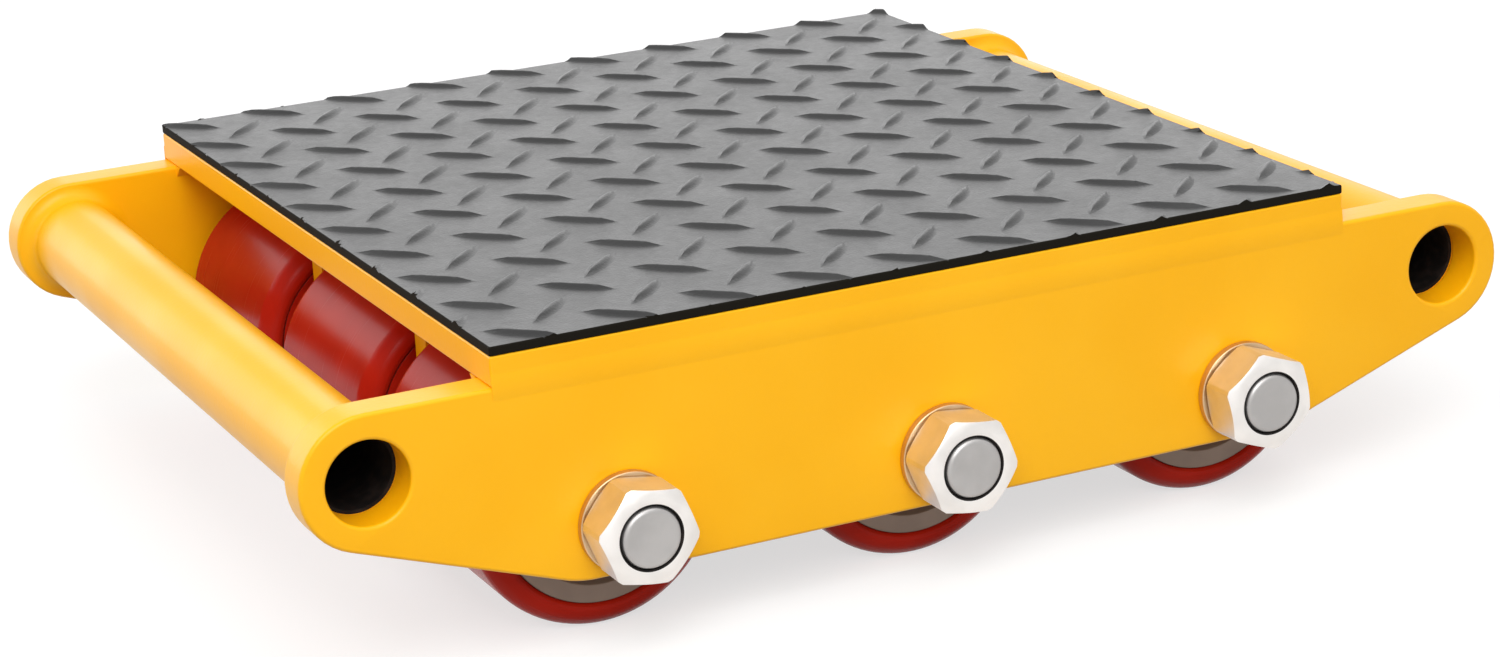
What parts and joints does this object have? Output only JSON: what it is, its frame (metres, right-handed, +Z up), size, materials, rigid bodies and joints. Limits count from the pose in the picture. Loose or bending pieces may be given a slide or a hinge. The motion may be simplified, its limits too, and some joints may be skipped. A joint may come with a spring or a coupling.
{
  "type": "machine skate",
  "caption": "Low steel roller dolly with a rubber-topped square deck, tie tubes through eared side plates and wide polyurethane rollers on through axles.",
  "frame": {"origin": "on the floor under the middle of the deck", "axes": "+X along the side plates in the rolling direction, +Y along the axles away from the picture's near side, +Z up"},
  "size_m": [0.432, 0.369, 0.1074],
  "materials": {
    "yellow_paint": "glossy yellow powder coat on welded steel",
    "mat_rubber": "matt black rubber with raised tread lugs",
    "roller_polyurethane": "satin red polyurethane",
    "core_steel": "turned grey steel",
    "axle_steel": "plain turned steel",
    "zinc_plate": "bright zinc plate",
    "bearing_steel": "ground bearing steel",
    "cage_brass": "turned brass",
    "seal_rubber": "black nitrile rubber"
  },
  "bodies": {
    "frame": {"deck_plate": "yellow_paint", "deck_mat": "mat_rubber", "side_plate_near": "yellow_paint", "side_plate_far": "yellow_paint", "inner_web_near": "yellow_paint", "inner_web_far": "yellow_paint", "tie_tube_left": "yellow_paint", "tie_tube_right": "yellow_paint", "tube_welds": "yellow_paint", "deck_welds": "yellow_paint", "axle_left": "axle_steel", "axle_centre": "axle_steel", "axle_right": "axle_steel", "axle_nuts": "zinc_plate", "axle_washers": "zinc_plate", "outer_spacers": "axle_steel", "inner_spacers": "axle_steel", "bearing_sleeves": "axle_steel", "bearing_inner_rings": "bearing_steel", "bearing_balls": "bearing_steel", "ball_cages": "cage_brass"},
    "roller_left_near": {"tread_left_near": "roller_polyurethane", "core_left_near": "core_steel", "outer_rings_left_near": "bearing_steel", "seals_left_near": "seal_rubber"},
    "roller_left_middle": {"tread_left_middle": "roller_polyurethane", "core_left_middle": "core_steel", "outer_rings_left_middle": "bearing_steel", "seals_left_middle": "seal_rubber"},
    "roller_left_far": {"tread_left_far": "roller_polyurethane", "core_left_far": "core_steel", "outer_rings_left_far": "bearing_steel", "seals_left_far": "seal_rubber"},
    "roller_centre_near": {"tread_centre_near": "roller_polyurethane", "core_centre_near": "core_steel", "outer_rings_centre_near": "bearing_steel", "seals_centre_near": "seal_rubber"},
    "roller_centre_middle": {"tread_centre_middle": "roller_polyurethane", "core_centre_middle": "core_steel", "outer_rings_centre_middle": "bearing_steel", "seals_centre_middle": "seal_rubber"},
    "roller_centre_far": {"tread_centre_far": "roller_polyurethane", "core_centre_far": "core_steel", "outer_rings_centre_far": "bearing_steel", "seals_centre_far": "seal_rubber"},
    "roller_right_near": {"tread_right_near": "roller_polyurethane", "core_right_near": "core_steel", "outer_rings_right_near": "bearing_steel", "seals_right_near": "seal_rubber"},
    "roller_right_middle": {"tread_right_middle": "roller_polyurethane", "core_right_middle": "core_steel", "outer_rings_right_middle": "bearing_steel", "seals_right_middle": "seal_rubber"},
    "roller_right_far": {"tread_right_far": "roller_polyurethane", "core_right_far": "core_steel", "outer_rings_right_far": "bearing_steel", "seals_right_far": "seal_rubber"}
  },
  "joints": [
    {"name": "roller_left_near_spin", "type": "hinge", "parent": "frame", "child": "roller_left_near", "pos_m": [-0.112, 0, 0.0425], "axis": [0, 1, 0], "continuous": true},
    {"name": "roller_left_middle_spin", "type": "hinge", "parent": "frame", "child": "roller_left_middle", "pos_m": [-0.112, 0, 0.0425], "axis": [0, 1, 0], "continuous": true},
    {"name": "roller_left_far_spin", "type": "hinge", "parent": "frame", "child": "roller_left_far", "pos_m": [-0.112, 0, 0.0425], "axis": [0, 1, 0], "continuous": true},
    {"name": "roller_centre_near_spin", "type": "hinge", "parent": "frame", "child": "roller_centre_near", "pos_m": [0, 0, 0.0425], "axis": [0, 1, 0], "continuous": true},
    {"name": "roller_centre_middle_spin", "type": "hinge", "parent": "frame", "child": "roller_centre_middle", "pos_m": [0, 0, 0.0425], "axis": [0, 1, 0], "continuous": true},
    {"name": "roller_centre_far_spin", "type": "hinge", "parent": "frame", "child": "roller_centre_far", "pos_m": [0, 0, 0.0425], "axis": [0, 1, 0], "continuous": true},
    {"name": "roller_right_near_spin", "type": "hinge", "parent": "frame", "child": "roller_right_near", "pos_m": [0.112, 0, 0.0425], "axis": [0, 1, 0], "continuous": true},
    {"name": "roller_right_middle_spin", "type": "hinge", "parent": "frame", "child": "roller_right_middle", "pos_m": [0.112, 0, 0.0425], "axis": [0, 1, 0], "continuous": true},
    {"name": "roller_right_far_spin", "type": "hinge", "parent": "frame", "child": "roller_right_far", "pos_m": [0.112, 0, 0.0425], "axis": [0, 1, 0], "continuous": true}
  ]
}
